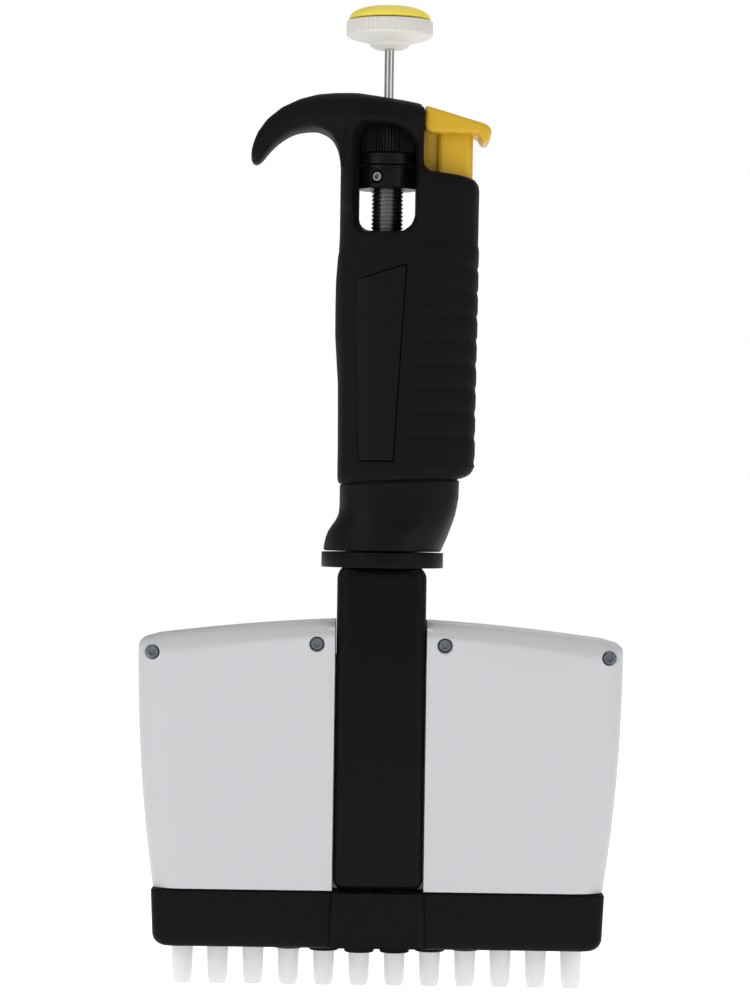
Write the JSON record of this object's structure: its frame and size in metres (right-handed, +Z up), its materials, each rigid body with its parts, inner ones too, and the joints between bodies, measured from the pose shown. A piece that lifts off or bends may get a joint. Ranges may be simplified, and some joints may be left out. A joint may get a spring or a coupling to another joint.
{
  "type": "multichannel pipette",
  "caption": "Hand-held pipette with a row of tip cones at standard well spacing, a swivelling channel module, a push button, a volume dial and a tip ejector.",
  "frame": {"origin": "on the plunger's axis, at the level of the tip cones' ends, the middle of the bounding box's underside", "axes": "+Z up along the plunger's axis, +X along the row of cones towards the tip ejector's button, -Y to the front"},
  "size_m": [0.123, 0.031, 0.2495],
  "materials": {
    "handle_plastic": "matt black moulded plastic, fine grain",
    "adaptor_plastic": "satin black moulded plastic",
    "shield_plastic": "satin black moulded plastic",
    "knob_plastic": "satin black plastic, knurled",
    "frame_plastic": "black moulded plastic",
    "housing_plastic": "light grey moulded plastic, satin",
    "cone_plastic": "white chemical-resistant plastic, satin",
    "button_plastic": "off-white moulded plastic, satin",
    "insert_plastic": "yellow moulded plastic",
    "ejector_plastic": "amber yellow moulded plastic, satin",
    "ring_plastic": "white plastic with plain digits",
    "lens": "clear polished plastic",
    "steel": "ground stainless steel",
    "spindle_steel": "blackened steel thread",
    "screw_steel": "blued steel",
    "brass": "turned brass"
  },
  "bodies": {
    "handle": {"handle_shell": "handle_plastic", "neck_adaptor": "adaptor_plastic", "counter_lens": "lens", "spindle_nut": "brass", "spring_seat": "steel", "plunger_spring": "steel", "blowout_spring": "steel", "ejector_spring": "steel"},
    "plunger": {"plunger_rod": "steel", "plunger_button": "button_plastic", "button_insert": "insert_plastic"},
    "blowout_stop": {"stop_ring": "steel"},
    "counter_drive": {"units_ring": "ring_plastic"},
    "dial": {"volume_knob": "knob_plastic", "knob_collar": "knob_plastic", "set_screw": "steel", "threaded_spindle": "spindle_steel"},
    "tens_counter": {"tens_ring": "ring_plastic"},
    "hundreds_counter": {"hundreds_ring": "ring_plastic"},
    "ejector": {"ejector_button": "ejector_plastic", "ejector_rod": "steel"},
    "module": {"front_cover": "housing_plastic", "rear_cover": "housing_plastic", "base_plate": "frame_plastic", "neck_frame": "frame_plastic", "swivel_nut": "brass", "guide_rod_left": "steel", "guide_rod_right": "steel", "cover_screw_1": "screw_steel", "cover_screw_2": "screw_steel", "cover_screw_3": "screw_steel", "cover_screw_4": "screw_steel", "tip_cone_01": "cone_plastic", "tip_cone_02": "cone_plastic", "tip_cone_03": "cone_plastic", "tip_cone_04": "cone_plastic", "tip_cone_05": "cone_plastic", "tip_cone_06": "cone_plastic", "tip_cone_07": "cone_plastic", "tip_cone_08": "cone_plastic", "tip_cone_09": "cone_plastic", "tip_cone_10": "cone_plastic", "tip_cone_11": "cone_plastic", "tip_cone_12": "cone_plastic"},
    "ejector_frame": {"ejector_column": "shield_plastic", "ejector_comb": "shield_plastic"},
    "piston_rack": {"crossbar": "frame_plastic", "push_rod": "steel", "piston_01": "steel", "piston_02": "steel", "piston_03": "steel", "piston_04": "steel", "piston_05": "steel", "piston_06": "steel", "piston_07": "steel", "piston_08": "steel", "piston_09": "steel", "piston_10": "steel", "piston_11": "steel", "piston_12": "steel"}
  },
  "joints": [
    {"name": "plunger_slide", "type": "slide", "parent": "handle", "child": "plunger", "axis": [0, 0, 1], "range_m": [-0.0115, 0], "stiffness_N_per_m": 250, "springref_m": 0.008, "deforming": ["plunger_spring"]},
    {"name": "blowout_slide", "type": "slide", "parent": "handle", "child": "blowout_stop", "axis": [0, 0, 1], "range_m": [-0.0025, 0], "deforming": ["blowout_spring"]},
    {"name": "dial_turn", "type": "hinge", "parent": "handle", "child": "counter_drive", "pos_m": [0, 0, 0.1591], "axis": [0, 0, 1], "range_deg": [-3240, 0]},
    {"name": "dial_travel", "type": "slide", "parent": "counter_drive", "child": "dial", "axis": [0, 0, 1], "range_m": [-0.009, 0]},
    {"name": "tens_turn", "type": "hinge", "parent": "handle", "child": "tens_counter", "pos_m": [0, 0, 0.1701], "axis": [0, 0, 1], "range_deg": [-324, 0]},
    {"name": "hundreds_turn", "type": "hinge", "parent": "handle", "child": "hundreds_counter", "pos_m": [0, 0, 0.1651], "axis": [0, 0, 1], "range_deg": [-32.4, 0]},
    {"name": "ejector_slide", "type": "slide", "parent": "handle", "child": "ejector", "axis": [0, 0, 1], "range_m": [-0.008, 0], "stiffness_N_per_m": 400, "springref_m": 0.006, "deforming": ["ejector_spring"]},
    {"name": "module_swivel", "type": "hinge", "parent": "handle", "child": "module", "pos_m": [0, 0, 0.1106], "axis": [0, 0, 1], "continuous": true},
    {"name": "frame_slide", "type": "slide", "parent": "module", "child": "ejector_frame", "axis": [0, 0, 1], "range_m": [-0.008, 0]},
    {"name": "rack_slide", "type": "slide", "parent": "module", "child": "piston_rack", "axis": [0, 0, 1], "range_m": [-0.0115, 0]}
  ],
  "couplings": [
    {"joint": "rack_slide", "follows": "plunger_slide", "ratio": 1},
    {"joint": "blowout_slide", "follows": "plunger_slide", "ratio": 0.21739},
    {"joint": "frame_slide", "follows": "ejector_slide", "ratio": 1},
    {"joint": "dial_turn", "follows": "dial_travel", "rad_per_m": 6283.2},
    {"joint": "tens_turn", "follows": "dial_travel", "rad_per_m": 628.32},
    {"joint": "hundreds_turn", "follows": "dial_travel", "rad_per_m": 62.832}
  ]
}
